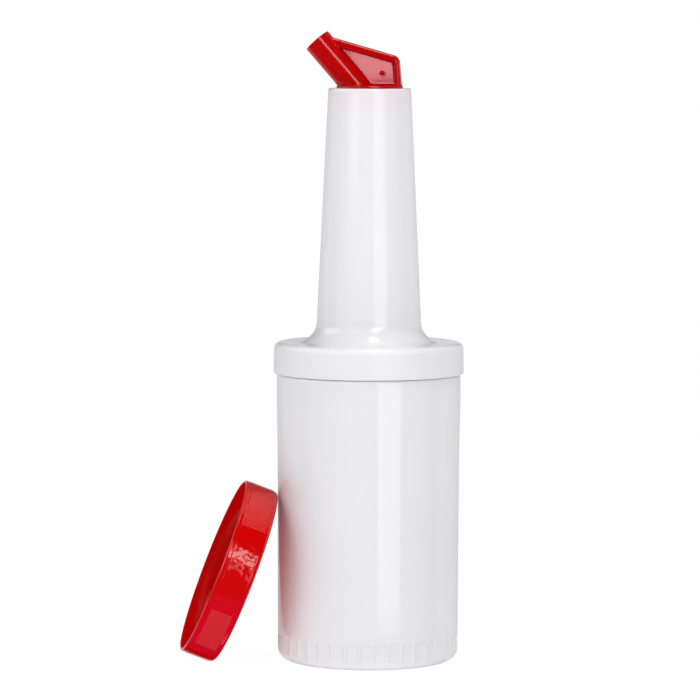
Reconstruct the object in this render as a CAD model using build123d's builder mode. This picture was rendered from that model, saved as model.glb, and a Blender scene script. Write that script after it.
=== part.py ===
from build123d import *

import os
from math import cos, radians, sin, sqrt, tan

# A bar pouring bottle for syrup: a white quart container, a white neck that screws onto its mouth,
# a red spout that plugs into the neck, and the red lid that closes the container for storage and
# leans against it here. Millimetres and degrees, +Z up, origin at the centre of the container's base.

# ---- Container ----
body_radius = 45.5  # at mid-height
body_height = 144.0  # floor to shoulder
body_wall = 1.4
floor_wall = 1.6
floor_rise = 1.5  # hollow under the base, inside its foot ring
foot_width = 3.3  # of the flat foot ring
foot_blend = 1.0
base_corner = 6.5
base_draft = 0.35  # how much narrower the body is at its base
top_flare = 0.5  # how much wider it is under the shoulder
flare_length = 26.0
flare_drop = 13.0  # from the shoulder down to where the flare ends
shoulder_corner = 1.2
shoulder_step = 3.5  # from the body in to the mouth
shoulder_drop = 4.5  # height over which the wall draws in to the mouth, inside
shoulder_blend = 1.5
panel_count = 40  # sunk panels of the grip band round the base
panel_angle = 7.0
panel_depth = 0.5
panel_bottom = 2.0  # low enough for the panels to run out in the base's rounding
panel_top = 13.4
panel_first_angle = -91.0  # middle of the first panel, from the +X axis

# ---- Mouth, and the thread that the neck and the lid share ----
mouth_wall = 2.0
mouth_height = 12.0
thread_lead = 6.0
thread_depth = 1.6
thread_play = 0.4  # along the axis, between the flanks at their roots
thread_flank = 0.65  # how much a rib narrows at each flank, from root to crest
thread_bite = 0.3  # how far a rib is rooted in its wall
mouth_margin = 0.95  # plain wall above and below the mouth's rib
collar_margin = 0.4  # plain wall between the collar's open edge and its rib
cap_run_out = 2.7  # plain wall between a cap's rib and its seal
crest_gap = 0.7  # between the mouth's rib and the wall of a cap
root_gap = 0.5  # between a cap's rib and the mouth's wall
shoulder_gap = 0.3  # between the shoulder and the open edge of a cap
edge_break = 0.4  # rounding of small edges

# ---- Flat ring seals, one in the neck's collar and one in the lid ----
seal_thickness = 1.5
seal_inset = 0.5  # how far a seal reaches inside the mouth's wall
seal_gap = 0.3  # between a seal and the wall of its cap

# ---- Neck ----
collar_wall = 3.35
collar_draft = 0.35  # how much narrower the collar is at its top
collar_plate = 2.5
collar_corner = 3.2
collar_edge = 1.0
neck_foot_radius = 26.55  # the cone's radius where it would meet the collar, without its flare
neck_height = 126.8  # above the collar
neck_wall = 1.8
neck_plate = 2.5
neck_corner = 1.2
flare_radius = 10.5
flare_extra = 0.5  # how much larger the flare's radius is inside
socket_radius = 15.2  # bore that holds the spout's plug
socket_wall = 1.5
socket_moat = 2.15  # between the socket's wall and the neck's
socket_run = 0.5  # how much deeper the socket is than the plug

# ---- Spout ----
spout_turn = 10.0  # the tip points this far behind the -X axis
plug_gap = 0.1
plug_length = 9.0
plug_lead_in = 0.7
flange_overlap = 1.5  # beyond the socket
flange_thickness = 1.3
flange_corner = 0.8
tube_radius = 7.0
tube_bore = 4.9
tube_tilt = 41.3  # from the vertical
tube_offset = 7.1  # from the neck's axis to the tube's, on top of the flange
tube_length = 29.8  # along the axis, from the top of the flange to the tip
tube_lip = 0.4
fin_thickness = 6.5
fin_tip_gap = 4.3  # along the tube, from the fin's upper edge to the tip
fin_slope = 15.7
fin_lean = 5.2
fin_setback = 0.6  # from the flange's edge to the fin's foot
fin_corner = 4.4
fin_bite = 2.0  # how far the fin reaches into the tube
rail_round = 1.5
top_rail = 3.3
rear_rail = 2.4
web_thickness = 1.8
pocket_foot = 0.3  # between the flange and the lower edge of a pocket
pocket_corner = 0.6
pocket_outer_corner = 1.6
gate_length = 2.4  # mark left by the mould's gate, on each side of the web
gate_width = 1.3
gate_height = 0.3
gate_tilt = -20.0
gate_setback = 9.5  # from the fin's foot
gate_rise = 6.2  # above the flange

# ---- O-ring on the spout's plug ----
oring_section = 1.4
oring_gap = 0.03  # between the O-ring and the socket
groove_gap = 0.05  # between the O-ring and the floor of its groove
groove_play = 0.4  # how much wider the groove is than the O-ring
groove_drop = 5.0  # middle of the groove below the flange
groove_wall = 1.1  # left inside the groove

# ---- Lid ----
lid_wall = 1.3
lid_edge = 2.2  # rounding of the closed edge
lid_rim = 0.9  # rounding of the open edge
lid_panel = 1.8
lid_recess = 0.8
lid_recess_margin = 7.4  # from the skirt in to the sunk panel
lid_land_height = 1.64  # of the ring that carries the seal, inside
lid_rib_margin = 3.4  # plain wall between the lid's open edge and its rib
lid_rib_end = 20.0  # where that rib ends nearest the open edge, from the side that faces -Y
lid_margin = 0.25  # between the raised band and the closed edge's rounding
lid_band_height = 0.15
lid_lean = 21.35  # from the vertical
lid_facing = 4.97  # the open side faces this far in front of the -X axis
lean_gap = 0.3  # between the lid and the container that it leans on
rib_groups = 4
rib_count = 20
rib_pitch = 1.63
rib_radius = 0.45
rib_height = 0.25
rib_first_centre = 52.9  # middle of the first group, from the side that faces -Y
mark_height = 0.25
mark_line = 0.45
mark_cut = 1.0  # how deep the marks are drawn before they are cut to their ring
arrow_length = 5.6
arrow_head_length = 2.4
arrow_head_width = 4.6
arrow_shaft_width = 2.4
arrow_angle = 17.4
arrow_offset = -2.25  # from the middle of the skirt, towards the open side
chevron_angles = (10.0, 14.6)
chevron_offset = 3.3
chevron_width = 3.0
chevron_length = 2.0

# ---- Sizes that follow from those ----
mouth_radius = body_radius - shoulder_step
mouth_top = body_height + mouth_height
base_radius = body_radius - base_draft
top_radius = body_radius + top_flare
foot_radius = base_radius - base_corner - foot_width
flare_top = body_height - flare_drop
flare_bottom = flare_top - flare_length
thread_root = thread_lead / 2 - thread_play
thread_crest = thread_root - 2 * thread_flank
mouth_rib_start = body_height + mouth_margin + thread_root / 2
mouth_turns = (mouth_height - 2 * mouth_margin - thread_root) / thread_lead
cap_bore = mouth_radius + thread_depth + crest_gap
cap_depth = mouth_height - shoulder_gap  # from a cap's open edge to its seal
collar_rib_turns = (cap_depth - collar_margin - cap_run_out - thread_root) / thread_lead
seal_radius = cap_bore - seal_gap
seal_bore = mouth_radius - mouth_wall - seal_inset
seal_top = mouth_top + seal_thickness
collar_radius = cap_bore + collar_wall
collar_bottom = body_height + shoulder_gap
collar_top = seal_top + collar_plate
neck_top = collar_top + neck_height
neck_top_radius = socket_radius + socket_wall + socket_moat + neck_wall
neck_taper = (neck_foot_radius - neck_top_radius) / neck_height
neck_inner_radius = neck_top_radius + neck_taper * neck_plate - neck_wall  # under the top plate
socket_depth = plug_length + socket_run
plug_radius = socket_radius - plug_gap
oring_radius = socket_radius - oring_gap - oring_section / 2
groove_radius = oring_radius - oring_section / 2 - groove_gap
groove_width = oring_section + groove_play
plug_bore = groove_radius - groove_wall
flange_radius = socket_radius + flange_overlap
fin_reach = tube_length - fin_tip_gap
fin_back = flange_radius - fin_setback
lid_radius = cap_bore + lid_wall
lid_band_radius = lid_radius + lid_band_height
lid_rib_turns = (cap_depth - lid_rib_margin - cap_run_out - thread_root) / thread_lead
lid_land = lid_recess + lid_panel + lid_land_height  # where the seal sits, from the closed face
lid_height = lid_land + seal_thickness + cap_depth
lid_middle = lid_height / 2
lid_band = lid_height - 2 * (lid_edge + lid_margin)
lid_recess_radius = lid_radius - lid_recess_margin


def section(points):
    """A closed outline through (radius, height, corner radius) points, with its corners rounded."""
    with BuildSketch() as outline:
        with BuildLine():
            Polyline(*[(x, y) for x, y, _ in points], close=True)
        make_face()
        for x, y, corner in points:
            if corner > 0:
                fillet(outline.vertices().sort_by_distance((x, y))[0], corner)
    return outline.sketch


def section_plane(seat):
    """The plane through a seat's axis in which its section is drawn: radius across, height up."""
    return Plane(seat.origin, x_dir=seat.x_dir, z_dir=-seat.y_dir)


def thread_rib(root, crest, turns):
    """A right-handed rib round +Z, from radius root to radius crest, starting at height 0 on +X."""
    inward = 1 if root > crest else -1
    with BuildPart() as rib:
        with BuildLine() as path:
            Helix(pitch=thread_lead, height=thread_lead * turns, radius=root)
        with BuildSketch(Plane(path.line @ 0, x_dir=(-inward, 0, 0), z_dir=path.line % 0)):
            with BuildLine():
                Polyline(
                    (0, -thread_root / 2),
                    (abs(crest - root), -thread_crest / 2),
                    (abs(crest - root), thread_crest / 2),
                    (0, thread_root / 2),
                    close=True,
                )
            make_face()
        sweep(path=path.line, is_frenet=True)
    return rib.part


# ---- Container ----
# Blow-moulded polyethylene: a foot ring, a band of sunk panels for grip, a straight body and a
# narrower mouth with one coarse rib as its thread.
mouth_rib = Pos(0, 0, mouth_rib_start) * thread_rib(
    mouth_radius - thread_bite, mouth_radius + thread_depth, mouth_turns
)

with BuildPart() as container:
    with BuildSketch(Plane.XZ):
        add(
            section(
                [
                    (0, floor_rise, 0),
                    (foot_radius - floor_rise, floor_rise, foot_blend),
                    (foot_radius, 0, edge_break),
                    (base_radius, 0, base_corner),
                    (body_radius, flare_bottom, 0),
                    (top_radius, flare_top, 0),
                    (top_radius, body_height, shoulder_corner),
                    (mouth_radius, body_height, edge_break),
                    (mouth_radius, mouth_top, edge_break),
                    (mouth_radius - mouth_wall, mouth_top, edge_break),
                    (mouth_radius - mouth_wall, body_height, shoulder_blend),
                    (top_radius - body_wall, body_height - shoulder_drop, shoulder_blend),
                    (top_radius - body_wall, flare_top, 0),
                    (body_radius - body_wall, flare_bottom, 0),
                    (base_radius - body_wall, floor_rise + floor_wall, base_corner - body_wall),
                    (0, floor_rise + floor_wall, 0),
                ]
            )
        )
    revolve(axis=Axis.Z)
    with BuildSketch(Plane.XY.offset(panel_bottom)):
        with PolarLocations(base_radius, panel_count, start_angle=panel_first_angle):
            Rectangle(2 * panel_depth, 2 * base_radius * tan(radians(panel_angle / 2)))
    extrude(amount=panel_top - panel_bottom, mode=Mode.SUBTRACT)
    add(mouth_rib)
container.part.label = "container"

# ---- Neck ----
# Injection-moulded polyethylene: a collar with an internal thread, a flared cone, and a socket
# under its top plate for the spout. Its rib runs midway between the turns of the mouth's rib.
collar_rib_start = collar_bottom + collar_margin + thread_root / 2
collar_rib_lead = collar_rib_start - (mouth_rib_start - thread_lead / 2)
collar_rib = Location(
    (0, 0, collar_rib_start), (0, 0, 360 * collar_rib_lead / thread_lead)
) * thread_rib(cap_bore + thread_bite, mouth_radius + root_gap, collar_rib_turns)

with BuildPart() as neck:
    with BuildSketch(Plane.XZ):
        add(
            section(
                [
                    (cap_bore, collar_bottom, edge_break),
                    (collar_radius, collar_bottom, collar_edge),
                    (collar_radius - collar_draft, collar_top, collar_corner),
                    (neck_foot_radius, collar_top, flare_radius),
                    (neck_top_radius, neck_top, neck_corner),
                    (socket_radius, neck_top, edge_break),
                    (socket_radius, neck_top - socket_depth, edge_break),
                    (socket_radius + socket_wall, neck_top - socket_depth, edge_break),
                    (socket_radius + socket_wall, neck_top - neck_plate, edge_break),
                    (neck_inner_radius, neck_top - neck_plate, edge_break),
                    (
                        neck_foot_radius + neck_taper * collar_plate - neck_wall,
                        seal_top,
                        flare_radius + flare_extra,
                    ),
                    (cap_bore, seal_top, 0),
                ]
            )
        )
    revolve(axis=Axis.Z)
    add(collar_rib)
neck.part.label = "neck"

# ---- Seal in the collar ----
# A flat ring between the collar's plate and the edge of the mouth.
with BuildPart() as neck_seal:
    with BuildSketch(Plane.XY.offset(mouth_top)):
        Circle(seal_radius)
        Circle(seal_bore, mode=Mode.SUBTRACT)
    extrude(amount=seal_thickness)
neck_seal.part.label = "neck_seal"

# ---- Spout ----
# A tilted tube on a flange, stiffened by a fin with a pocket in each side, and a hollow plug below.
spout_seat = Plane(
    (0, 0, neck_top), x_dir=(cos(radians(spout_turn)), -sin(radians(spout_turn)), 0), z_dir=(0, 0, 1)
)
spout_side = section_plane(spout_seat)
spout_axis = Axis(spout_seat.origin, spout_seat.z_dir)
tilt_sine = sin(radians(tube_tilt))
tilt_cosine = cos(radians(tube_tilt))


def tube_point(along, across):
    """A point of the spout's side view, along the tube from the flange and across it towards the fin."""
    return (
        -tube_offset - along * tilt_sine + across * tilt_cosine,
        flange_thickness + along * tilt_cosine + across * tilt_sine,
    )


def fin_outline(top_inset, rear_inset, bottom, across, corners):
    """The fin's outline in side view, drawn in from its upper and rear edges by two insets.

    It runs along the tube at a distance across it, down to the height of its bottom edge."""
    start_x, start_y = tube_point(fin_reach, tube_radius)
    slope = tan(radians(fin_slope))
    lean = tan(radians(fin_lean))
    line_height = start_y + start_x * slope - top_inset / cos(radians(fin_slope))
    rear = fin_back - rear_inset / cos(radians(fin_lean))
    corner_x = (rear - (line_height - flange_thickness) * lean) / (1 - slope * lean)
    low_x, low_y = tube_point(0, across)
    along = (line_height - low_y - low_x * slope) / (tilt_cosine - tilt_sine * slope)
    points = [
        tube_point(along, across),
        (corner_x, line_height - corner_x * slope),
        (rear + (flange_thickness - bottom) * lean, bottom),
        (low_x + (low_y - bottom) * tan(radians(tube_tilt)), bottom),
    ]
    return [(x, y, corner) for (x, y), corner in zip(points, corners)]


fin_points = fin_outline(0, 0, flange_thickness / 2, tube_radius - fin_bite, (0, fin_corner, 0, 0))
pocket_points = fin_outline(
    top_rail,
    rear_rail,
    flange_thickness + pocket_foot,
    sqrt(tube_radius**2 - (fin_thickness / 2) ** 2),
    (pocket_corner, pocket_outer_corner, pocket_corner, pocket_corner),
)
tube_plane = Plane(
    spout_side.from_local_coords(Vector(*tube_point(0, 0))),
    x_dir=spout_seat.y_dir,
    z_dir=spout_seat.z_dir * tilt_cosine - spout_seat.x_dir * tilt_sine,
)
tube_axis = Axis(tube_plane.origin, tube_plane.z_dir)
tube_run_in = 2 * tube_radius  # how far the tube is drawn below the flange, before it is trimmed


def is_rail_edge(edge):
    """Whether an edge of the bare fin runs along its upper or rear outline."""
    x, y, _ = spout_side.to_local_coords(edge.center())
    across = (x + tube_offset) * tilt_cosine + (y - flange_thickness) * tilt_sine
    return y > flange_thickness and across > tube_radius


with BuildPart() as spout:
    with BuildSketch(spout_side):
        add(section(fin_points))
    extrude(amount=fin_thickness / 2, both=True)
    fin_edges = spout.edges().filter_by(Axis(spout_seat.origin, spout_seat.y_dir), reverse=True)
    fillet(fin_edges.filter_by(is_rail_edge), rail_round)
    with BuildSketch(tube_plane.offset(-tube_run_in)):
        Circle(tube_radius)
    extrude(amount=tube_run_in + tube_length)
    split(bisect_by=spout_seat, keep=Keep.TOP)
    with BuildSketch(spout_side):
        add(
            section(
                [
                    (0, 0, 0),
                    (plug_bore, 0, edge_break),
                    (plug_bore, -plug_length, 0),
                    (plug_radius - plug_lead_in, -plug_length, edge_break),
                    (plug_radius, -plug_length + 2 * plug_lead_in, 0),
                    (plug_radius, -groove_drop - groove_width / 2, 0),
                    (groove_radius, -groove_drop - groove_width / 2, 0),
                    (groove_radius, -groove_drop + groove_width / 2, 0),
                    (plug_radius, -groove_drop + groove_width / 2, 0),
                    (plug_radius, 0, 0),
                    (flange_radius, 0, 0),
                    (flange_radius, flange_thickness, flange_corner),
                    (0, flange_thickness, 0),
                ]
            )
        )
    revolve(axis=spout_axis)
    for side in (1, -1):
        with BuildSketch(spout_side.offset(side * web_thickness / 2)):
            add(section(pocket_points))
        extrude(amount=side * fin_thickness, mode=Mode.SUBTRACT)
        with BuildSketch(spout_side.offset(side * web_thickness / 2)):
            with Locations((fin_back - gate_setback, flange_thickness + gate_rise)):
                SlotOverall(gate_length, gate_width, rotation=gate_tilt)
        extrude(amount=side * gate_height)
    with BuildSketch(tube_plane.offset(-tube_run_in)):
        Circle(tube_bore)
    extrude(amount=tube_run_in + tube_length, mode=Mode.SUBTRACT)
    fillet(spout.faces().sort_by(tube_axis)[-1].edges(), tube_lip)
spout.part.label = "spout"

# ---- O-ring on the plug ----
with BuildPart() as spout_seal:
    with BuildSketch(Plane.XZ):
        with Locations((oring_radius, neck_top - groove_drop)):
            Circle(oring_section / 2)
    revolve(axis=Axis.Z)
spout_seal.part.label = "spout_seal"

# ---- Lid ----
# A screw cap with four groups of fine grip ribs on a raised band, standing on its closed edge and
# leaning on the container. Its frame starts at the middle of the closed face, and its axis points
# out of the open side. The rounded closed edge touches the floor and the container.
lean_sine = sin(radians(lid_lean))
lean_cosine = cos(radians(lid_lean))
facing_sine = sin(radians(lid_facing))
facing_cosine = cos(radians(lid_facing))
edge_centre = lid_radius - lid_edge
lid_rise = edge_centre * lean_cosine - lid_edge * lean_sine + lid_edge
lid_reach = body_radius + lean_gap + edge_centre * lean_sine - lid_edge * lean_cosine + lid_edge
lid_seat = Plane(
    (-lid_reach * facing_cosine, -lid_reach * facing_sine, lid_rise),
    x_dir=(facing_sine, -facing_cosine, 0),
    z_dir=(-facing_cosine * lean_cosine, -facing_sine * lean_cosine, lean_sine),
)
lid_side = section_plane(lid_seat)
lid_axis = Axis(lid_seat.origin, lid_seat.z_dir)
lid_rib_start = lid_height - lid_rib_margin - thread_root / 2 - lid_rib_turns * thread_lead
lid_rib = (
    lid_seat.location
    * Location((0, 0, lid_rib_start), (0, 0, lid_rib_end - 360 * lid_rib_turns))
    * thread_rib(cap_bore + thread_bite, mouth_radius + root_gap, lid_rib_turns)
)


def mark_plane(angle, offset):
    """The plane outside the lid's skirt at an angle, with x towards the open side."""
    outward = lid_seat.x_dir * cos(radians(angle)) + lid_seat.y_dir * sin(radians(angle))
    middle = lid_seat.origin + lid_seat.z_dir * (lid_middle + offset)
    return Plane(
        middle + outward * (lid_band_radius + mark_cut / 2), x_dir=lid_seat.z_dir, z_dir=outward
    )


# The marks that say which way up the lid goes: an outlined arrow and two chevrons, raised on the
# skirt. They are cut out of a thin ring that stands proud of the band.
with BuildPart() as lid_marks:
    for angle in chevron_angles:
        with BuildSketch(mark_plane(angle, chevron_offset)):
            with BuildLine():
                Polyline(
                    (-chevron_length / 2 - mark_line / 2, chevron_width / 2),
                    (chevron_length / 2 - mark_line / 2, 0),
                    (-chevron_length / 2 - mark_line / 2, -chevron_width / 2),
                    (-chevron_length / 2 + mark_line, -chevron_width / 2),
                    (chevron_length / 2 + mark_line, 0),
                    (-chevron_length / 2 + mark_line, chevron_width / 2),
                    close=True,
                )
            make_face()
    with BuildSketch(mark_plane(arrow_angle, arrow_offset)):
        with BuildLine():
            Polyline(
                (arrow_length / 2, 0),
                (arrow_length / 2 - arrow_head_length, arrow_head_width / 2),
                (arrow_length / 2 - arrow_head_length, arrow_shaft_width / 2),
                (-arrow_length / 2, arrow_shaft_width / 2),
                (-arrow_length / 2, -arrow_shaft_width / 2),
                (arrow_length / 2 - arrow_head_length, -arrow_shaft_width / 2),
                (arrow_length / 2 - arrow_head_length, -arrow_head_width / 2),
                close=True,
            )
        make_face()
        offset(amount=-mark_line, mode=Mode.SUBTRACT)
    extrude(amount=-mark_cut)
    with BuildSketch(lid_seat):
        Circle(lid_band_radius + mark_height)
        Circle(lid_band_radius - mark_height, mode=Mode.SUBTRACT)
    extrude(amount=lid_height, mode=Mode.INTERSECT)

with BuildPart() as lid:
    with BuildSketch(lid_side):
        add(
            section(
                [
                    (0, lid_recess, 0),
                    (lid_recess_radius, lid_recess, edge_break),
                    (lid_recess_radius + lid_recess, 0, edge_break),
                    (lid_radius, 0, lid_edge),
                    (lid_radius, lid_middle - lid_band / 2 - lid_band_height, 0),
                    (lid_band_radius, lid_middle - lid_band / 2, 0),
                    (lid_band_radius, lid_middle + lid_band / 2, 0),
                    (lid_radius, lid_middle + lid_band / 2 + lid_band_height, 0),
                    (lid_radius, lid_height, lid_rim),
                    (cap_bore, lid_height, 0),
                    (cap_bore, lid_land, 0),
                    (seal_bore, lid_land, edge_break),
                    (seal_bore, lid_recess + lid_panel, edge_break),
                    (0, lid_recess + lid_panel, 0),
                ]
            )
        )
    revolve(axis=lid_axis)
    with BuildSketch(lid_seat.offset(lid_middle - lid_band / 2)):
        for group in range(rib_groups):
            middle = rib_first_centre + group * 360 / rib_groups
            with PolarLocations(
                lid_band_radius + rib_height - rib_radius,
                rib_count,
                start_angle=middle - rib_pitch * (rib_count - 1) / 2,
                angular_range=rib_pitch * (rib_count - 1),
                endpoint=True,
            ):
                Circle(rib_radius)
    extrude(amount=lid_band)
    add(lid_rib)
    add(lid_marks.part)
lid.part.label = "lid"

# ---- Seal in the lid ----
# The same flat ring, on the land inside the lid.
with BuildPart() as lid_seal:
    with BuildSketch(lid_seat.offset(lid_land)):
        Circle(seal_radius)
        Circle(seal_bore, mode=Mode.SUBTRACT)
    extrude(amount=seal_thickness)
lid_seal.part.label = "lid_seal"

os.makedirs("parts", exist_ok=True)
export_step(container.part, "parts/container.step")
export_step(neck.part, "parts/neck.step")
export_step(neck_seal.part, "parts/neck_seal.step")
export_step(spout.part, "parts/spout.step")
export_step(spout_seal.part, "parts/spout_seal.step")
export_step(lid.part, "parts/lid.step")
export_step(lid_seal.part, "parts/lid_seal.step")
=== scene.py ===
import bmesh
import bpy
import numpy as np
from mathutils import Matrix, Vector


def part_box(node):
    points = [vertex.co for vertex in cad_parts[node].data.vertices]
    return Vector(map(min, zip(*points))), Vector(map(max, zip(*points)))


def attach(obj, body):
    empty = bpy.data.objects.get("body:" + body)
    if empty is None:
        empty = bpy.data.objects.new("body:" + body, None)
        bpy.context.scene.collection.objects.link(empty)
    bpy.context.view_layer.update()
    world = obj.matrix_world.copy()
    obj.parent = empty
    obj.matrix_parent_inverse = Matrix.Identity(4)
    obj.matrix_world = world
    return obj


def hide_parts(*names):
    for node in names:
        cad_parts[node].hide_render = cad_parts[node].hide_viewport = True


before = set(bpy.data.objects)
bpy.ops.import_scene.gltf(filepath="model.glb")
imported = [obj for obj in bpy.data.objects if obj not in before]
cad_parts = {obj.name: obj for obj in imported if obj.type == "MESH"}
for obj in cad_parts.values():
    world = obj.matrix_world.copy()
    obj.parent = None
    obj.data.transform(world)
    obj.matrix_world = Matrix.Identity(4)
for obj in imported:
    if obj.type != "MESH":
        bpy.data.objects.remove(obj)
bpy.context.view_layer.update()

# ---- Container ----
# Blow-moulded white polyethylene in one hollow piece: a foot ring, a band of shallow grip panels, a
# body that widens a little under its shoulder, and a mouth with one coarse rib wound round it.
top_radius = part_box("container")[1].x
mouth_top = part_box("container")[1].z
mouth_height = 0.012
body_height = mouth_top - mouth_height
body_wall = 0.0014
top_flare = 0.0005
base_draft = 0.00035
body_radius = top_radius - top_flare
base_radius = body_radius - base_draft
flare_drop = 0.013
flare_length = 0.026
flare_top = body_height - flare_drop
flare_bottom = flare_top - flare_length
flare_blend = 0.5
floor_wall = 0.0016
floor_rise = 0.0015
floor_top = floor_rise + floor_wall
base_corner = 0.0065
foot_width = 0.0033
foot_blend = 0.001
foot_radius = base_radius - base_corner - foot_width
shoulder_corner = 0.0012
shoulder_step = 0.0035
shoulder_drop = 0.0045
shoulder_blend = 0.0015
mouth_wall = 0.002
mouth_radius = body_radius - shoulder_step
mouth_bore = mouth_radius - mouth_wall
edge_break = 0.0004
panel_count = 40
panel_turn = -91
panel_half_angle = 3.5
panel_depth = 0.0005
panel_top = 0.0134
panel_blend = 0.0006
thread_lead = 0.006
thread_root = 0.0026
thread_crest = 0.0013
thread_depth = 0.0016
thread_bite = 0.0003
mouth_margin = 0.00095
mouth_rib_start = body_height + mouth_margin + thread_root / 2
mouth_rib_turns = 1.25
same_place = 1e-7
natural_white = (0.83, 0.83, 0.86)
polyethylene_index = 1.52


def rounded_outline(corners, longest=0.0008, fewest=6):
    """The closed outline through (radius, height, rounding) corners, in order, as rows of points.

    At a corner with half-angle a, an arc of radius r begins and ends r / tan(a) from the corner
    along its two sides, and its centre lies r / sin(a) away between them. The arc's steps are no
    longer than longest, and it has no fewer than fewest."""
    place, rounding = np.split(np.array(corners, float), [2], axis=1)
    back = np.roll(place, 1, axis=0) - place
    ahead = np.roll(place, -1, axis=0) - place
    back /= np.linalg.norm(back, axis=1, keepdims=True)
    ahead /= np.linalg.norm(ahead, axis=1, keepdims=True)
    half = np.arccos(np.sum(back * ahead, axis=1, keepdims=True)) / 2
    between = (back + ahead) / np.linalg.norm(back + ahead, axis=1, keepdims=True)
    centre = place + between * rounding / np.sin(half)
    first = place + back * rounding / np.tan(half) - centre
    last = place + ahead * rounding / np.tan(half) - centre
    turn = np.pi - 2 * half[:, 0]
    arcs = []
    for corner, steps in enumerate(np.maximum(fewest, np.ceil(rounding[:, 0] * turn / longest)).astype(int)):
        sweep = turn[corner] * np.linspace(0, 1, steps + 1)[:, None]
        arc = np.sin(turn[corner] - sweep) * first[corner] + np.sin(sweep) * last[corner]
        arcs.append(centre[corner] + arc / np.sin(turn[corner]))
    points = np.concatenate(arcs)
    return points[np.linalg.norm(points - np.roll(points, 1, axis=0), axis=1) > same_place]


def with_rows(outline, longest, levels=(), hold=0.0003):
    """The closed outline with more points on its straight runs, none further apart than longest.

    A point also stands close to each end of a run, so that smooth shading stays true on the run,
    and where the run crosses one of the levels, at (level - start) / (end - start) of its length."""
    rows = []
    for start, end in zip(outline, np.roll(outline, -1, axis=0)):
        length = np.linalg.norm(end - start)
        share = np.zeros(1)
        if length > 3 * hold:
            count = int(np.ceil((length - 2 * hold) / longest)) + 1
            share = np.append(0, np.linspace(hold, length - hold, count) / length)
        if abs(end[1] - start[1]) > hold:
            crossing = (np.array(levels) - start[1]) / (end[1] - start[1])
            share = np.unique(np.append(share, crossing[(crossing > 0) & (crossing < 1)]))
        rows.append(start + share[:, None] * (end - start))
    return np.concatenate(rows)


def from_pole_to_pole(outline):
    """An outline that begins and ends on the axis, without the rows of its run back along the axis."""
    last = np.flatnonzero(outline[:, 0] > 0)[-1] + 1
    return outline[: last + 1]


def turned(outline, angles, relief=0.0):
    """Points of an outline turned about +Z, in rows along it and columns at the angles.

    A point is (r cos angle, r sin angle, height), where r is its radius and the relief added."""
    radius = outline[:, :1] + relief * np.ones_like(angles)
    height = outline[:, 1:] * np.ones_like(angles)
    return np.stack([radius * np.cos(angles), radius * np.sin(angles), height], axis=-1)


def rib_round(root, crest, start, turns, first_angle=0.0, steps_in_turn=120, run_out=20):
    """Points of a screw thread's rib: a rounded trapezoid carried up a helix about +Z.

    It climbs thread_lead x turns from start, narrows from thread_root at the root's radius to
    thread_crest at the crest's, and over its first and last run_out degrees shrinks to a point."""
    across = np.array([0, 0, 0.25, 0.75, 0.95, 1, 1, 0.95, 0.75, 0.25])
    width = thread_root + (thread_crest - thread_root) * across
    side = np.array([0.5, -0.5, -0.5, -0.5, -0.46, -0.3, 0.3, 0.46, 0.5, 0.5])
    travel = np.linspace(0, 2 * np.pi * turns, int(steps_in_turn * turns) + 1)[:, None]
    ends = np.clip(np.minimum(travel, travel[-1] - travel) / np.radians(run_out), 0, 1)
    size = np.sqrt(1 - (1 - ends) ** 2)
    radius = root + (crest - root) * across * size
    height = start + thread_lead * travel / (2 * np.pi) + side * width * size
    angle = np.radians(first_angle) + travel
    points = np.stack([radius * np.cos(angle), radius * np.sin(angle), height], axis=-1)
    return points[:, ::-1] if crest > root else points


def grid_mesh(name, surfaces):
    """A mesh from surfaces of (points in rows and columns, whether the last row joins the first).

    Columns always join up. Points in one place, as at a pole or a rib's end, become one."""
    points, faces, first = [], [], 0
    for grid, closed in surfaces:
        rows, columns = grid.shape[:2]
        row, column = np.indices((rows if closed else rows - 1, columns))
        corners = [(row, column), (row, column + 1), (row + 1, column + 1), (row + 1, column)]
        faces.append(np.stack([first + r % rows * columns + c % columns for r, c in corners], axis=-1))
        points.append(grid.reshape(-1, 3))
        first += rows * columns
    mesh = bpy.data.meshes.new(name)
    mesh.from_pydata(np.concatenate(points), [], np.concatenate([f.reshape(-1, 4) for f in faces]))
    merged = bmesh.new()
    merged.from_mesh(mesh)
    bmesh.ops.remove_doubles(merged, verts=merged.verts, dist=same_place)
    merged.to_mesh(mesh)
    merged.free()
    mesh.shade_smooth()
    return mesh


def finished(name, mesh, material, body, slot, *nodes):
    """The mesh as a piece in that material, riding on the body and standing for the CAD nodes."""
    piece = bpy.data.objects.new(name, mesh)
    bpy.context.scene.collection.objects.link(piece)
    mesh.materials.clear()
    mesh.materials.append(material)
    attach(piece, body)
    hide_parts(*nodes)


def soft_step(value, edge, width):
    """0 before an edge and 1 after it, with a smooth turn over the width that the edge takes."""
    share = np.clip((value - edge) / width + 0.5, 0, 1)
    return share**2 * (3 - 2 * share)


def add_node(tree, kind, inputs=(), **settings):
    """A new node of that kind. An input is a plain value, or the output that feeds it."""
    node = tree.nodes.new("ShaderNode" + kind)
    for name, value in settings.items():
        setattr(node, name, value)
    for key, value in dict(inputs).items():
        if isinstance(value, bpy.types.NodeSocket):
            tree.links.new(value, node.inputs[key])
        else:
            node.inputs[key].default_value = value
    return node


def number_math(tree, operation, *values):
    """What a Math node makes of those values."""
    return add_node(tree, "Math", enumerate(values), operation=operation).outputs[0]


def vector_math(tree, operation, *values):
    """What a Vector Math node makes of those values: a number for a dot product, length or distance."""
    node = add_node(tree, "VectorMath", enumerate(values), operation=operation)
    return node.outputs["Value" if operation in ("DOT_PRODUCT", "LENGTH", "DISTANCE") else "Vector"]


def ramp(tree, value, span, levels=(0.0, 1.0), **settings):
    """The value carried from the ends of a span to two levels, and held at them outside it."""
    inputs = {"Value": value, "From Min": span[0], "From Max": span[1], "To Min": levels[0],
              "To Max": levels[1]}
    return add_node(tree, "MapRange", inputs, **settings).outputs[0]


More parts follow.
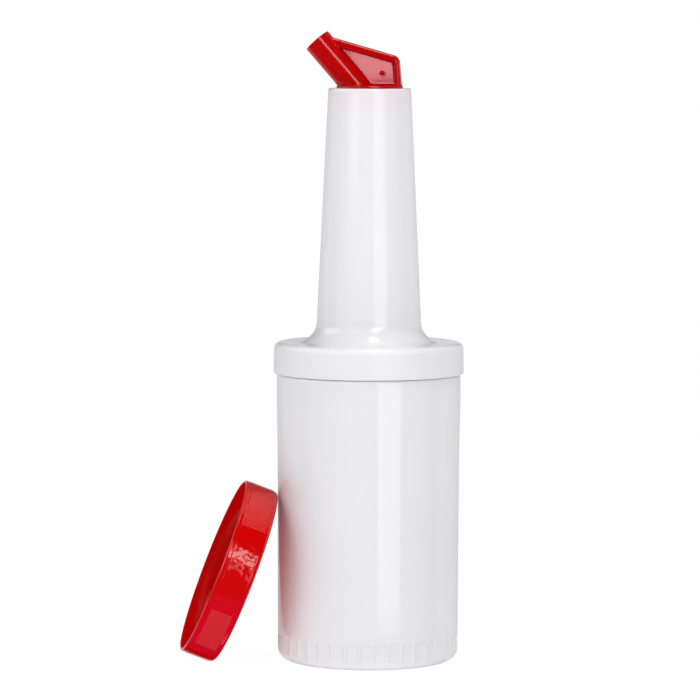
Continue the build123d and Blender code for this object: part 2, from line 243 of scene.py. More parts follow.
def moulded_skin():
    """The node group for moulded polyethylene: waviness, orange peel and grain, all in metres.

    Each is a noise about zero times its own depth. A slow noise shifts colour and roughness."""
    peel_scale = 650.0
    grain_scale = 3800.0
    slow_scale = 24.0
    slow_span = (0.3, 0.7)
    tone_levels = (0.985, 1.015)
    gloss_levels = (-0.02, 0.02)
    group = bpy.data.node_groups.new("moulded_skin", "ShaderNodeTree")
    for name, kind in (("Color", "Color"), ("Roughness", "Float"), ("Wave", "Float"),
                       ("Wave Size", "Float"), ("Peel", "Float"), ("Grain", "Float")):
        group.interface.new_socket(name, in_out="INPUT", socket_type="NodeSocket" + kind)
    for name, kind in (("Color", "Color"), ("Roughness", "Float"), ("Height", "Float")):
        group.interface.new_socket(name, in_out="OUTPUT", socket_type="NodeSocket" + kind)
    given = group.nodes.new("NodeGroupInput")
    result = group.nodes.new("NodeGroupOutput")
    place = add_node(group, "TexCoord").outputs["Object"]
    wave_scale = number_math(group, "DIVIDE", 1.0, given.outputs["Wave Size"])
    height = 0.0
    for depth, scale, detail in (("Wave", wave_scale, 1.0), ("Peel", peel_scale, 1.5),
                                 ("Grain", grain_scale, 2.0)):
        noise = add_node(group, "TexNoise", {"Vector": place, "Scale": scale, "Detail": detail})
        level = number_math(group, "SUBTRACT", noise.outputs["Fac"], 0.5)
        level = number_math(group, "MULTIPLY", level, given.outputs[depth])
        height = number_math(group, "ADD", level, height)
    slow = add_node(group, "TexNoise", {"Vector": place, "Scale": slow_scale, "Detail": 3.0})
    tone = ramp(group, slow.outputs["Fac"], slow_span, tone_levels)
    gloss = ramp(group, slow.outputs["Fac"], slow_span, gloss_levels)
    color = vector_math(group, "MULTIPLY", given.outputs["Color"], tone)
    rough = number_math(group, "ADD", given.outputs["Roughness"], gloss)
    for name, value in (("Color", color), ("Roughness", rough), ("Height", height)):
        group.links.new(value, result.inputs[name])
    return group


skin = moulded_skin()


def plastic(name, color, roughness, wave, wave_size, peel, grain=0.0):
    """Moulded plastic with that skin, with its node tree and the skin's own node.

    Wave, peel and grain are depths, and wave_size is how wide a wave is."""
    material = bpy.data.materials.new(name)
    material.use_nodes = True
    tree = material.node_tree
    shader = tree.nodes["Principled BSDF"]
    surface = tree.nodes.new("ShaderNodeGroup")
    surface.node_tree = skin
    for key, value in (("Color", (*color, 1)), ("Roughness", roughness), ("Wave", wave),
                       ("Wave Size", wave_size), ("Peel", peel), ("Grain", grain)):
        surface.inputs[key].default_value = value
    bump = add_node(tree, "Bump", {"Height": surface.outputs["Height"], "Distance": 1.0})
    tree.links.new(surface.outputs["Color"], shader.inputs["Base Color"])
    tree.links.new(surface.outputs["Roughness"], shader.inputs["Roughness"])
    tree.links.new(bump.outputs["Normal"], shader.inputs["Normal"])
    shader.inputs["IOR"].default_value = polyethylene_index
    return material, tree, surface


white_container = plastic("container_plastic", natural_white, roughness=0.07, wave=6e-5,
                          wave_size=0.035, peel=1.5e-6)[0]

panel_rows = panel_top + panel_blend * np.array([-0.6, -0.3, 0, 0.3, 0.6])
panel_columns = np.array([-4.5, -3.95, -3.7, -3.5, -3.3, -3.05, -1.6, 0, 1.6, 3.05, 3.3, 3.5, 3.7, 3.95])
container_outline = with_rows(
    rounded_outline(
        [
            (0, floor_rise, 0),
            (foot_radius - floor_rise, floor_rise, foot_blend),
            (foot_radius, 0, edge_break),
            (base_radius, 0, base_corner),
            (body_radius, flare_bottom, flare_blend),
            (top_radius, flare_top, flare_blend),
            (top_radius, body_height, shoulder_corner),
            (mouth_radius, body_height, edge_break),
            (mouth_radius, mouth_top, edge_break),
            (mouth_bore, mouth_top, edge_break),
            (mouth_bore, body_height, shoulder_blend),
            (top_radius - body_wall, body_height - shoulder_drop, shoulder_blend),
            (top_radius - body_wall, flare_top, 0),
            (body_radius - body_wall, flare_bottom, 0),
            (base_radius - body_wall, floor_top, base_corner - body_wall),
            (0, floor_top, 0),
        ]
    ),
    longest=0.012,
    levels=panel_rows,
)
container_outline = from_pole_to_pole(container_outline)

# Each panel is a flat, panel_depth deep at its middle, that runs out at its sides and its top.
from_panel = np.tile(np.radians(panel_columns), panel_count)
panel_middles = panel_turn + 360 / panel_count * np.arange(panel_count)
container_angles = np.radians(np.repeat(panel_middles, len(panel_columns))) + from_panel
in_panel = 1 - soft_step(np.abs(from_panel), np.radians(panel_half_angle), panel_blend / base_radius)
below_top = 1 - soft_step(container_outline[:, 1:], panel_top, panel_blend)
panel_sink = np.minimum(0, (base_radius - panel_depth) / np.cos(from_panel) - container_outline[:, :1])
mouth_rib = rib_round(mouth_radius - thread_bite, mouth_radius + thread_depth, mouth_rib_start,
                      mouth_rib_turns)
container_turned = turned(container_outline, container_angles, in_panel * below_top * panel_sink)
container_mesh = grid_mesh("container_shell", [(container_turned, False), (mouth_rib, False)])
finished("container_shell", container_mesh, white_container, "container", "container_plastic", "container")

# ---- Seals ----
# Pale silicone rubber with a satin skin: two flat rings cut from sheet, which lie in the collar and in
# the lid, and an O-ring moulded for the groove in the spout's plug.
seal_rubber = plastic("seal_rubber", (0.72, 0.72, 0.69), roughness=0.45, wave=0.0, wave_size=0.02,
                      peel=2e-6, grain=1e-6)[0]
for seal in ("neck_seal", "spout_seal", "lid_seal"):
    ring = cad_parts[seal].data
    ring.materials.clear()
    ring.materials.append(seal_rubber)

# ---- Neck ----
# Injection-moulded white polyethylene: a collar with a fine-grained skirt and a thread inside, and
# a polished cone with a socket for the spout. The red plug shows faintly through its top.
neck_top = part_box("neck")[1].z
collar_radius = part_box("neck")[1].x
collar_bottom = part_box("neck")[0].z
seal_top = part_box("neck_seal")[1].z
collar_plate = 0.0025
collar_top = seal_top + collar_plate
collar_draft = 0.00035
collar_corner = 0.0032
collar_edge = 0.001
collar_margin = 0.0004
crest_gap = 0.0007
root_gap = 0.0005
cap_bore = mouth_radius + thread_depth + crest_gap
cap_rib_root = cap_bore + thread_bite
cap_rib_crest = mouth_radius + root_gap
collar_rib_turns = 1
neck_wall = 0.0018
neck_plate = 0.0025
neck_corner = 0.0012
neck_foot_radius = 0.02655
socket_radius = 0.0152
socket_wall = 0.0015
socket_moat = 0.00215
neck_top_radius = socket_radius + socket_wall + socket_moat + neck_wall
neck_taper = (neck_foot_radius - neck_top_radius) / (neck_top - collar_top)
neck_columns = 240
cone_flare = 0.0105
cone_flare_inside = 0.011
plug_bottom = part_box("spout")[0].z
socket_run = 0.0005
socket_floor = plug_bottom - socket_run
neck_polish = 0.1
skirt_roughness = 0.38
skirt_grain = 6e-6
skirt_edge = (collar_top - 0.0015, collar_top - 0.0005)
plug_blush = (0.85, 0.77, 0.815)
plug_blush_reach = 0.0068


def mixed_color(tree, share, first, second):
    """The first colour where the share is 0, and the second where it is 1."""
    return add_node(tree, "Mix", {0: share, 6: first, 7: second}, data_type="RGBA").outputs[2]


white_neck, neck_tree, neck_skin = plastic("neck_plastic", natural_white, roughness=neck_polish,
                                           wave=3e-5, wave_size=0.03, peel=1e-6)
neck_place = add_node(neck_tree, "SeparateXYZ", {0: add_node(neck_tree, "TexCoord").outputs["Object"]})
on_skirt = ramp(neck_tree, neck_place.outputs["Z"], skirt_edge, (1.0, 0.0))
by_plug = ramp(neck_tree, neck_place.outputs["Z"], (plug_bottom - plug_blush_reach, neck_top),
               interpolation_type="SMOOTHSTEP")
neck_rough = ramp(neck_tree, on_skirt, (0.0, 1.0), (neck_polish, skirt_roughness))
neck_grain = ramp(neck_tree, on_skirt, (0.0, 1.0), (0.0, skirt_grain))
neck_color = mixed_color(neck_tree, by_plug, (*natural_white, 1), (*plug_blush, 1))
for name, value in (("Roughness", neck_rough), ("Grain", neck_grain), ("Color", neck_color)):
    neck_tree.links.new(value, neck_skin.inputs[name])
neck_outline = with_rows(
    rounded_outline(
        [
            (cap_bore, collar_bottom, edge_break),
            (collar_radius, collar_bottom, collar_edge),
            (collar_radius - collar_draft, collar_top, collar_corner),
            (neck_foot_radius, collar_top, cone_flare),
            (neck_top_radius, neck_top, neck_corner),
            (socket_radius, neck_top, edge_break),
            (socket_radius, socket_floor, edge_break),
            (socket_radius + socket_wall, socket_floor, edge_break),
            (socket_radius + socket_wall, neck_top - neck_plate, edge_break),
            (neck_top_radius + neck_taper * neck_plate - neck_wall, neck_top - neck_plate, edge_break),
            (neck_foot_radius + neck_taper * collar_plate - neck_wall, seal_top, cone_flare_inside),
            (cap_bore, seal_top, 0),
        ]
    ),
    longest=0.008,
)
neck_angles = np.linspace(0, 2 * np.pi, neck_columns, endpoint=False)
collar_rib_start = collar_bottom + collar_margin + thread_root / 2
collar_rib_angle = 360 * (collar_rib_start - mouth_rib_start + thread_lead / 2) / thread_lead
collar_rib = rib_round(cap_rib_root, cap_rib_crest, collar_rib_start, collar_rib_turns, collar_rib_angle)
neck_mesh = grid_mesh("neck_shell", [(turned(neck_outline, neck_angles), True), (collar_rib, False)])
finished("neck_shell", neck_mesh, white_neck, "neck", "neck_plastic", "neck")

# ---- Spout ----
# Red polyethylene moulded in one: a square-cut tube, a flange, a finned grip and a plug. Every edge
# is rounded as the mould leaves it, and the grip's thin web has sunk a little, which turns its shine.
# The web is also painted a lighter, pinker red: a painted glow of light shining through the thin web.
spout_turn = np.radians(10)
upward = np.array([0, 0, 1])
web_right = np.array([np.cos(spout_turn), -np.sin(spout_turn), 0])
web_across = np.array([np.sin(spout_turn), np.cos(spout_turn), 0])
web_half = 0.0009
web_skin = (web_half + 0.00008, web_half + 0.0002)
web_flatness = (0.9, 0.98)
web_middle = np.array([0.006, 0, 0.3])
web_lean = 0.37 * web_right + 0.13 * upward
web_dish = 5.0
# A lighter, pinker red for the web: a painted glow of light passing through it.
web_painted_glow_red = (0.64, 0.0008, 0.03)
flange_thickness = 0.0013
tube_radius = 0.007
tube_offset = 0.0071
tube_tilt = np.radians(41.3)
tube_foot = (neck_top + flange_thickness) * upward - tube_offset * web_right
tube_way = np.cos(tube_tilt) * upward - np.sin(tube_tilt) * web_right
tube_skin = 0.00024
tube_skin_blend = 0.00012

red_spout, spout_tree, spout_skin = plastic("spout_plastic", (0.48, 0.0006, 0.001), roughness=0.12,
                                            wave=1.2e-5, wave_size=0.012, peel=1e-6)
spout_shader = spout_tree.nodes["Principled BSDF"]
spout_shader.inputs["Subsurface Weight"].default_value = 0.3
spout_shader.inputs["Subsurface Radius"].default_value = (1.0, 0.02, 0.02)
spout_shader.inputs["Subsurface Scale"].default_value = 0.002
spout_coords = add_node(spout_tree, "TexCoord")
spout_place, spout_normal = spout_coords.outputs["Object"], spout_coords.outputs["Normal"]
off_web = number_math(spout_tree, "ABSOLUTE", vector_math(spout_tree, "DOT_PRODUCT", spout_place, web_across))
facing = number_math(spout_tree, "ABSOLUTE", vector_math(spout_tree, "DOT_PRODUCT", spout_normal, web_across))
on_web = number_math(spout_tree, "MULTIPLY", ramp(spout_tree, off_web, web_skin, (1.0, 0.0)),
                     ramp(spout_tree, facing, web_flatness))

# On the web, the normal leans by web_lean, and by web_dish times the way from the web's middle.
from_middle = vector_math(spout_tree, "SUBTRACT", spout_place, web_middle)
dish = add_node(spout_tree, "VectorMath", {0: from_middle, "Scale": web_dish}, operation="SCALE").outputs[0]
slope = vector_math(spout_tree, "ADD", dish, web_lean)
tilt = add_node(spout_tree, "VectorMath", {0: slope, "Scale": on_web}, operation="SCALE").outputs[0]
leaning = vector_math(spout_tree, "ADD", spout_normal, tilt)
web_normal = add_node(spout_tree, "VectorTransform", {"Vector": leaning}, vector_type="NORMAL",
                      convert_from="OBJECT", convert_to="WORLD").outputs[0]
# The web gets the lighter red, a painted glow that stands in for light passing through it.
spout_color = mixed_color(spout_tree, on_web, spout_skin.outputs["Color"], (*web_painted_glow_red, 1))
spout_tree.links.new(spout_color, spout_shader.inputs["Base Color"])
spout_tree.links.new(web_normal, spout_tree.nodes["Bump"].inputs["Normal"])


def mould_rounded(node, fineness, passes):
    """A copy of a CAD node's mesh with its edges rounded, as a mould leaves them.

    It is rebuilt on a grid of that fineness. Then, as many times as there are passes, each point
    moves halfway to the middle of its neighbours."""
    halfway = 0.5
    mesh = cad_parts[node].data.copy()
    merged = bmesh.new()
    merged.from_mesh(mesh)
    bmesh.ops.remove_doubles(merged, verts=merged.verts, dist=10 * same_place)
    merged.to_mesh(mesh)
    merged.free()
    piece = bpy.data.objects.new(node, mesh)
    bpy.context.scene.collection.objects.link(piece)
    rebuild = piece.modifiers.new("rebuild", "REMESH")
    rebuild.mode = "VOXEL"
    rebuild.voxel_size = fineness
    relax = piece.modifiers.new("relax", "SMOOTH")
    relax.factor = halfway
    relax.iterations = passes
    evaluated = piece.evaluated_get(bpy.context.evaluated_depsgraph_get())
    rounded = bpy.data.meshes.new_from_object(evaluated)
    bpy.data.objects.remove(piece)
    rounded.shade_smooth()
    return rounded


def made_round(points, foot, way, radius):
    """The points, with those close to a tube's outside put at its true radius.

    A point's reach is its distance from the line through the foot along the way. Beyond the foot, a
    reach that is off by less than tube_skin becomes the radius, with a blend tube_skin_blend wide
    to those that stay."""
    along = (points - foot) @ way
    centre = foot + along[:, None] * way
    reach = np.linalg.norm(points - centre, axis=1)
    error = reach - radius
    kept = np.where(along > 0, soft_step(np.abs(error), tube_skin, tube_skin_blend), 1)
    return centre + (points - centre) * ((radius + error * kept) / reach)[:, None]


spout_mesh = mould_rounded("spout", fineness=0.0003, passes=9)
spout_points = np.empty(3 * len(spout_mesh.vertices))
spout_mesh.vertices.foreach_get("co", spout_points)
spout_points = made_round(spout_points.reshape(-1, 3), tube_foot, tube_way, tube_radius)
spout_mesh.vertices.foreach_set("co", spout_points.ravel())
finished("spout_shell", spout_mesh, red_spout, "spout", "spout_plastic", "spout")

# ---- Lid ----
# Injection-moulded red polyethylene, like the spout: a screw cap with four groups of fine grip ribs
# on a raised band and raised marks that say which way up it goes. It leans on the container.
lid_lean = np.radians(21.35)
lid_facing = np.radians(4.97)
lean_gap = 0.0003
lid_wall = 0.0013
lid_radius = cap_bore + lid_wall
lid_edge = 0.0022
lid_rim = 0.0009
lid_rim_inside = 0.0003
lid_recess = 0.0008
lid_recess_margin = 0.0074
lid_recess_slope = 0.0008
lid_panel = 0.0018
lid_floor = lid_recess + lid_panel
lid_land_height = 0.00164
lid_land = lid_floor + lid_land_height
lid_land_corner = 0.0002
lid_height = lid_land + seal_top - collar_bottom
seal_inset = 0.0005
seal_bore = mouth_bore - seal_inset
band_height = 0.00015
band_radius = lid_radius + band_height
band_margin = 0.00025
band_start = lid_edge + band_margin
band_end = lid_height - band_start
band_half = (band_end - band_start) / 2
band_slope = 0.0003
band_corner = 0.0006
rib_groups = 4
rib_count = 20
rib_pitch = 1.63
rib_half_width = 0.0004
rib_height = 0.0001
rib_first_centre = 52.9
rib_inset = 0.0005
rib_fade = 0.0008
rib_fine_columns = 0.2 * np.arange(-3, 4)
lid_coarse_columns = np.arange(0, 360, 1.5)
lid_rib_turns = 0.5
lid_rib_end = 20
lid_rib_margin = 0.0034
lid_rib_start = lid_height - lid_rib_margin - thread_root / 2 - lid_rib_turns * thread_lead
mark_height = 0.0002
mark_line = 0.0006
arrow_angle = 17.4
arrow_offset = -0.00225
arrow_length = 0.0072
arrow_head_length = 0.0032
arrow_head_width = 0.0056
arrow_shaft_width = 0.0029
chevron_angles = (10.0, 14.6)
chevron_offset = 0.0033
chevron_length = 0.002
chevron_width = 0.003
chevron_points = 17
flow_size = 0.005
flow_depth = 0.0004
flow_reach = (0.006, 0.018)
# Paler red painted on the rib crests: a painted highlight where they catch the light.
crest_highlight_span = (0.1, 0.32)
crest_highlight_share = 0.25
ribbed_band_ends = (band_half - 0.001, band_half - 0.0004)
crest_highlight_red = (0.85, 0.12, 0.11)
rib_roughness = 0.12
skirt_skin = 0.0004
edge_centre = lid_radius - lid_edge
lid_rise = edge_centre * np.cos(lid_lean) - lid_edge * np.sin(lid_lean) + lid_edge
lid_reach = body_radius + lean_gap + edge_centre * np.sin(lid_lean) - lid_edge * np.cos(lid_lean) + lid_edge
lid_way = np.array([-np.cos(lid_facing), -np.sin(lid_facing), 0])
lid_out = np.cos(lid_lean) * lid_way + np.sin(lid_lean) * upward
lid_front = np.array([np.sin(lid_facing), -np.cos(lid_facing), 0])
lid_seat = np.stack([lid_front, np.cross(lid_out, lid_front), lid_out], axis=0)
lid_middle = lid_reach * lid_way + lid_rise * upward


def raised_line(line, angle, offset, closed):
    """Points of a thin raised line on the skirt: rows along it and columns round its section.

    The line runs through points (along the lid's axis, round its skirt) in metres, from an angle on
    the skirt and an offset from its middle. With n and m the normals of the runs before and after a
    point, its section is drawn out by (n + m) / (1 + n.m), which mitres the corners. An open line is
    closed by a flat end."""
    run = np.roll(line, -1, axis=0) - line
    normal = np.stack([-run[:, 1], run[:, 0]], axis=1) / np.linalg.norm(run, axis=1, keepdims=True)
    if not closed:
        normal[-1] = normal[-2]
    before = np.roll(normal, 1, axis=0)
    if not closed:
        before[0] = normal[0]
    mitre = (normal + before) / (1 + np.sum(normal * before, axis=1, keepdims=True))
    across = mark_line * np.array([-0.5, -0.32, -0.12, 0.12, 0.32, 0.5])
    rise = mark_height * np.array([-0.3, 0.6, 1, 1, 0.6, -0.3])
    place = line[:, None] + mitre[:, None] * across[:, None]
    rise = np.broadcast_to(rise, place.shape[:2])
    if not closed:
        place = np.concatenate([place[:1] * 0 + line[0], place, place[:1] * 0 + line[-1]])
        rise = np.concatenate([rise[:1] * 0, rise, rise[:1] * 0])
    radius = band_radius + rise
    turn = np.radians(angle) - place[..., 1] / band_radius
    height = lid_height / 2 + offset + place[..., 0]
    return np.stack([radius * np.cos(turn), radius * np.sin(turn), height], axis=-1)


red_lid, lid_tree, lid_skin = plastic("lid_plastic", (0.62, 0.0006, 0.0008), roughness=0.08, wave=4e-5,
                                      wave_size=0.006, peel=1e-6)
lid_shader = lid_tree.nodes["Principled BSDF"]
lid_place = add_node(lid_tree, "TexCoord").outputs["Object"]

# The mould's flow has left slight waves round the marks.
mark_turn = np.radians((arrow_angle + min(chevron_angles)) / 2)
mark_place = np.array([band_radius * np.cos(mark_turn), band_radius * np.sin(mark_turn), lid_height / 2])
from_marks = vector_math(lid_tree, "DISTANCE", lid_place, mark_place @ lid_seat + lid_middle)
by_marks = ramp(lid_tree, from_marks, flow_reach, (1.0, 0.0))
flow = add_node(lid_tree, "TexNoise", {"Vector": lid_place, "Scale": 1 / flow_size, "Detail": 1.0})
flow_level = number_math(lid_tree, "MULTIPLY", by_marks, flow_depth)
flow_level = number_math(lid_tree, "MULTIPLY", flow.outputs["Fac"], flow_level)
lid_level = number_math(lid_tree, "ADD", lid_skin.outputs["Height"], flow_level)
lid_tree.links.new(lid_level, lid_tree.nodes["Bump"].inputs["Height"])

# The ribs' crests are painted a paler red, a painted highlight for the light they catch, and the ribs are
# duller than the skirt between their groups.
from_lid = vector_math(lid_tree, "SUBTRACT", lid_place, lid_middle)
front, side, out = [vector_math(lid_tree, "DOT_PRODUCT", from_lid, axis) for axis in lid_seat]
group_turn = number_math(lid_tree, "ARCTAN2", side, front)
group_turn = number_math(lid_tree, "SUBTRACT", group_turn, np.radians(rib_first_centre))
group_turn = number_math(lid_tree, "WRAP", group_turn, np.pi / rib_groups, -np.pi / rib_groups)
in_group = number_math(lid_tree, "LESS_THAN", number_math(lid_tree, "ABSOLUTE", group_turn),
                       np.radians(rib_pitch * rib_count / 2))
off_crest = number_math(lid_tree, "FRACT", number_math(lid_tree, "DIVIDE", group_turn, np.radians(rib_pitch)))
off_crest = number_math(lid_tree, "ABSOLUTE", number_math(lid_tree, "SUBTRACT", off_crest, 0.5))
off_middle = number_math(lid_tree, "ABSOLUTE", number_math(lid_tree, "SUBTRACT", out, lid_height / 2))
across_lid = add_node(lid_tree, "CombineXYZ", {"X": front, "Y": side}).outputs[0]
outside = number_math(lid_tree, "GREATER_THAN", vector_math(lid_tree, "LENGTH", across_lid),
                      lid_radius - skirt_skin)
ribbed = number_math(lid_tree, "MULTIPLY", in_group, ramp(lid_tree, off_middle, ribbed_band_ends, (1.0, 0.0)))
ribbed = number_math(lid_tree, "MULTIPLY", ribbed, outside)
crest_highlight = number_math(lid_tree, "MULTIPLY", ribbed, ramp(lid_tree, off_crest, crest_highlight_span, (1.0, 0.0)))
crest_highlight = number_math(lid_tree, "MULTIPLY", crest_highlight, crest_highlight_share)
lid_color = mixed_color(lid_tree, crest_highlight, lid_skin.outputs["Color"], (*crest_highlight_red, 1))
lid_rough = number_math(lid_tree, "ADD", lid_skin.outputs["Roughness"],
                        number_math(lid_tree, "MULTIPLY", ribbed, rib_roughness))
lid_tree.links.new(lid_color, lid_shader.inputs["Base Color"])
lid_tree.links.new(lid_rough, lid_shader.inputs["Roughness"])

lid_outline = with_rows(
    rounded_outline(
        [
            (0, lid_recess, 0),
            (lid_radius - lid_recess_margin, lid_recess, edge_break),
            (lid_radius - lid_recess_margin + lid_recess_slope, 0, edge_break),
            (lid_radius, 0, lid_edge),
            (lid_radius, band_start, band_corner),
            (band_radius, band_start + band_slope, band_corner),
            (band_radius, band_end - band_slope, band_corner),
            (lid_radius, band_end, band_corner),
            (lid_radius, lid_height, lid_rim),
            (cap_bore, lid_height, lid_rim_inside),
            (cap_bore, lid_land, lid_land_corner),
            (seal_bore, lid_land, edge_break),
            (seal_bore, lid_floor, edge_break),
            (0, lid_floor, 0),
        ]
    ),
    longest=0.006,
)
lid_outline = from_pole_to_pole(lid_outline)
rib_middles = rib_pitch * (np.arange(rib_count) - (rib_count - 1) / 2)
rib_angles = (rib_first_centre + np.arange(rib_groups)[:, None] * 360 / rib_groups + rib_middles).ravel()
near_ribs = (rib_angles[:, None] + rib_fine_columns).ravel() % 360
lid_angles = np.unique(np.round(np.concatenate([lid_coarse_columns, near_ribs]), 4))
nearest = np.min(np.abs((lid_angles[:, None] - rib_angles + 180) % 360 - 180), axis=1)
ridge = np.clip(1 - (np.radians(nearest) * band_radius / rib_half_width) ** 2, 0, 1)
lid_levels = lid_outline[:, 1:]
on_band = soft_step(lid_levels, band_start + rib_inset, rib_fade)
on_band = on_band - soft_step(lid_levels, band_end - rib_inset, rib_fade)
on_skin = lid_outline[:, :1] > lid_radius - 10 * same_place
lid_turned = turned(lid_outline, np.radians(lid_angles), rib_height * ridge * on_band * on_skin)
lid_rib = rib_round(cap_rib_root, cap_rib_crest, lid_rib_start, lid_rib_turns,
                    lid_rib_end - 360 * lid_rib_turns)
arrow_half = (arrow_length - mark_line) / 2
arrow_neck = arrow_length / 2 - arrow_head_length + mark_line / 2
shaft_side = (arrow_shaft_width - mark_line) / 2
head_side = arrow_head_width / 2 - mark_line
arrow = with_rows(
    np.array([
        (arrow_half - mark_line / 3, 0),
        (arrow_neck, head_side),
        (arrow_neck, shaft_side),
        (-arrow_half, shaft_side),
        (-arrow_half, -shaft_side),
        (arrow_neck, -shaft_side),
        (arrow_neck, -head_side),
    ]),
    longest=0.0012,
    hold=0.00012,
)
arms = np.linspace(-1, 1, chevron_points)
chevron = np.stack([chevron_length * (0.5 - np.abs(arms)), chevron_width / 2 * arms], axis=1)
marks = [(raised_line(arrow, arrow_angle, arrow_offset, closed=True), True)]
for angle in chevron_angles:
    marks.append((raised_line(chevron, angle, chevron_offset, closed=False), False))
lid_surfaces = [(lid_turned, False), (lid_rib, False), *marks]
lid_mesh = grid_mesh("lid_shell", [(grid @ lid_seat + lid_middle, closed) for grid, closed in lid_surfaces])
finished("lid_shell", lid_mesh, red_lid, "lid", "lid_plastic", "lid")

# ---- Floor ----
# A plain white sweep under the object. Most of its white is its own glow, so that it fades into the
# backdrop, and a small share is paint that takes the object's shadow.
floor_half = 4.0
floor_paint = (0.9, 0.9, 0.91)
floor_glow_share = 0.9
floor_glow_span = (1.0, 3.0)
floor_glow_levels = (1.06, 1.09)


def empty_material(name):
    """A new material without any node, and its tree."""
    material = bpy.data.materials.new(name)
    material.use_nodes = True
    material.node_tree.nodes.clear()
    return material, material.node_tree


def stage_object(name, points, faces, material):
    """A mesh as an object of the stage, which is no piece of the part."""
    mesh = bpy.data.meshes.new(name)
    mesh.from_pydata(points, [], faces)
    mesh.materials.append(material)
    stage = bpy.data.objects.new(name, mesh)
    bpy.context.scene.collection.objects.link(stage)
    return stage


floor_white, floor_tree = empty_material("floor_white")
paint = add_node(floor_tree, "BsdfDiffuse", {"Color": (*floor_paint, 1)})
from_object = vector_math(floor_tree, "LENGTH", add_node(floor_tree, "TexCoord").outputs["Object"])
whiteness = ramp(floor_tree, from_object, floor_glow_span, floor_glow_levels)
glow = add_node(floor_tree, "Emission", {"Color": (1, 1, 1, 1), "Strength": whiteness})
blend = add_node(floor_tree, "MixShader", {0: floor_glow_share, 1: paint.outputs[0], 2: glow.outputs[0]})
add_node(floor_tree, "OutputMaterial", {"Surface": blend.outputs[0]})
floor_corners = floor_half * np.array([(-1, -1, 0), (1, -1, 0), (1, 1, 0), (-1, 1, 0)])
floor = stage_object("floor", floor_corners, [(0, 1, 2, 3)], floor_white)
floor.visible_glossy = False

# ---- Room ----
# The studio round the table, which only reflections see: dark in front, and behind the object a wall
# that grows lighter upwards over a bright low strip. Under the table it is dim and violet.
room_radius = 2.0
room_azimuths = np.radians(np.linspace(-180, 180, 73))
room_elevations = np.radians(np.linspace(-80, 89, 40))
behind_span = (0.1, 0.5)
wall_span = (0.1, 1.9)
wall_levels = (0.05, 0.25)
strip_span = (0.3, 0.6)
strip_levels = (0.62, 0.0)
under_span = (-0.85, -1.0)
under_tint = (0.3, 0.06, 1)
under_depth = (0.4, 1.4)
under_levels = (0.26, 0.0)

room_paint, room_tree = empty_material("room_paint")
room_place = add_node(room_tree, "SeparateXYZ", {0: add_node(room_tree, "TexCoord").outputs["Object"]})
depth, rise = room_place.outputs["Y"], room_place.outputs["Z"]
behind = number_math(room_tree, "MAXIMUM", ramp(room_tree, rise, wall_span, wall_levels),
                     ramp(room_tree, rise, strip_span, strip_levels))
behind = number_math(room_tree, "MULTIPLY", ramp(room_tree, depth, behind_span), behind)
under = ramp(room_tree, rise, under_span)
under_glow = ramp(room_tree, depth, under_depth, under_levels)
tint = mixed_color(room_tree, under, (1, 1, 1, 1), (*under_tint, 1))
shade = add_node(room_tree, "Mix", {0: under, 2: behind, 3: under_glow})
room_glow = add_node(room_tree, "Emission", {"Color": tint, "Strength": shade.outputs[0]})
add_node(room_tree, "OutputMaterial", {"Surface": room_glow.outputs[0]})
azimuth, elevation = np.meshgrid(room_azimuths, room_elevations)
outward = [np.sin(azimuth) * np.cos(elevation), -np.cos(azimuth) * np.cos(elevation), np.sin(elevation)]
room_points = room_radius * np.stack(outward, axis=-1)
row, column = np.indices((len(room_elevations) - 1, len(room_azimuths) - 1))
corner = row * len(room_azimuths) + column
above = corner + len(room_azimuths)
room_faces = np.stack([corner, corner + 1, above + 1, above], axis=-1)
room_walls = stage_object("room_walls", room_points.reshape(-1, 3), room_faces.reshape(-1, 4), room_paint)
room_walls.visible_camera = False
room_walls.visible_diffuse = False
room_walls.visible_shadow = False

# ---- Lamps ----
# Softboxes at both sides and overhead, and broad fills that gloss doesn't see. Cards that only gloss
# sees give the shine on the spout, the lid's marks and the neck. The world is white where it is seen.
world_light = 0.25
softbox_distance = 1.5
front_fill_distance = 1.7
lamp_white = (1, 0.99, 0.97)

world = bpy.data.worlds.new("studio")
bpy.context.scene.world = world
world.use_nodes = True
path = add_node(world.node_tree, "LightPath").outputs
seen = number_math(world.node_tree, "MAXIMUM", path["Is Camera Ray"], path["Is Glossy Ray"])
seen = number_math(world.node_tree, "MAXIMUM", seen, path["Is Transmission Ray"])
background = world.node_tree.nodes["Background"]
background.inputs["Color"].default_value = (1, 1, 1, 1)
strength = ramp(world.node_tree, seen, (0.0, 1.0), (world_light, 1.0))
world.node_tree.links.new(strength, background.inputs["Strength"])


def softbox(name, place, turn, size, brightness, color=(1, 1, 1)):
    """A lit panel of that size, facing the way that its turn gives, of even brightness."""
    panel = bpy.data.lights.new(name, "AREA")
    panel.shape = "RECTANGLE"
    panel.size, panel.size_y = size
    panel.energy = brightness * np.pi * size[0] * size[1]
    panel.color = color
    lamp = bpy.data.objects.new(name, panel)
    lamp.location = place
    lamp.rotation_euler = turn
    lamp.visible_camera = False
    bpy.context.scene.collection.objects.link(lamp)
    return lamp


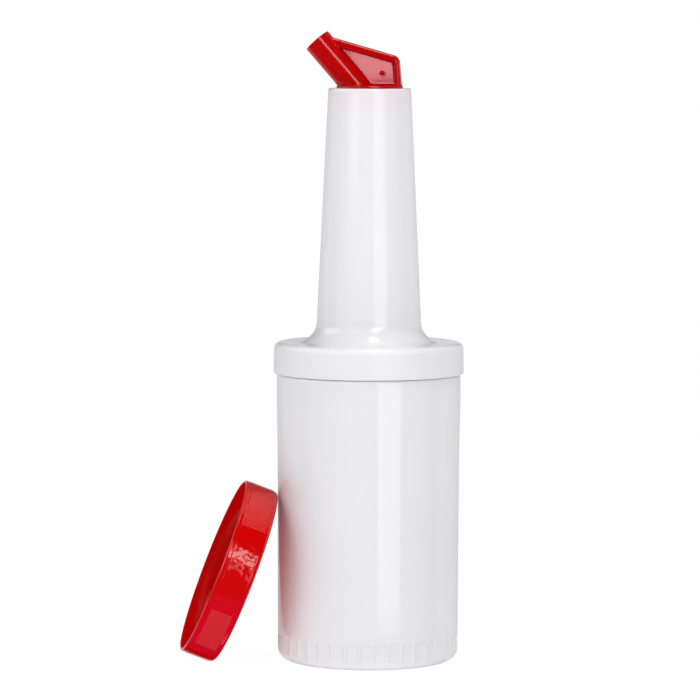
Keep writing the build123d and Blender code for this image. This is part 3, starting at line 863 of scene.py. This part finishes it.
def upright_softbox(name, azimuths, heights, brightness, distance=softbox_distance):
    """An upright softbox that faces the object, between two azimuths from -Y and two heights."""
    middle = np.radians(sum(azimuths) / 2)
    width = 2 * distance * np.tan(np.radians(azimuths[1] - azimuths[0]) / 2)
    place = (distance * np.sin(middle), -distance * np.cos(middle), sum(heights) / 2)
    return softbox(name, place, (np.pi / 2, 0, middle), (width, heights[1] - heights[0]), brightness)


def level_softbox(name, place, size, brightness):
    """A level softbox that faces down, with its middle at that place."""
    return softbox(name, place, (0, 0, 0), size, brightness, lamp_white)


upright_softbox("right_softbox", (12, 40), (-0.2, 0.42), brightness=1.7)
upright_softbox("upper_right_softbox", (11, 33), (0.5, 0.88), brightness=5.2)
upright_softbox("left_softbox", (-54, -28), (0.305, 2.3), brightness=1.2)
fills = [
    level_softbox("overhead_softbox", (0.25, -0.15, 1.66), (1.1, 1.1), brightness=4.2),
    upright_softbox("front_fill", (-34, 24), (0.0, 1.0), brightness=0.3, distance=front_fill_distance),
    upright_softbox("left_fill", (-68, -42), (0.0, 1.2), brightness=1.05),
]
for fill in fills:
    fill.visible_glossy = False
cards = [
    upright_softbox("spout_card", (5, 22), (0.94, 1.35), brightness=4.5),
    upright_softbox("side_card", (-115, -70), (0.5, 1.5), brightness=2.5),
    upright_softbox("high_card", (-35, 58), (1.75, 2.7), brightness=1.1),
    level_softbox("rail_card", (0.13, -0.15, 1.6), (0.26, 1.1), brightness=4.0),
]
for card in cards:
    card.visible_diffuse = False

# ---- Camera ----
# A long lens, level with the neck and looking slightly down, and rolled a little. The view uses
# the plain Standard transform, so that colours come out as they are written.
camera_place = (-0.0094, -2.2, 0.32693)
camera_pitch = 0.0776
camera_roll = 0.0035
sensor_width = 36
lens_length = 226.7
ahead = Vector((0, np.cos(camera_pitch), -np.sin(camera_pitch)))
level_right = Vector((1, 0, 0))
right = level_right * np.cos(camera_roll) + level_right.cross(ahead) * np.sin(camera_roll)
camera = bpy.data.objects.new("camera", bpy.data.cameras.new("camera"))
bpy.context.scene.collection.objects.link(camera)
camera.data.sensor_width = sensor_width
camera.data.lens = lens_length
camera_axes = Matrix((right, right.cross(ahead), -ahead)).transposed().to_4x4()
camera.matrix_world = Matrix.Translation(camera_place) @ camera_axes
bpy.context.scene.camera = camera
bpy.context.scene.view_settings.view_transform = "Standard"
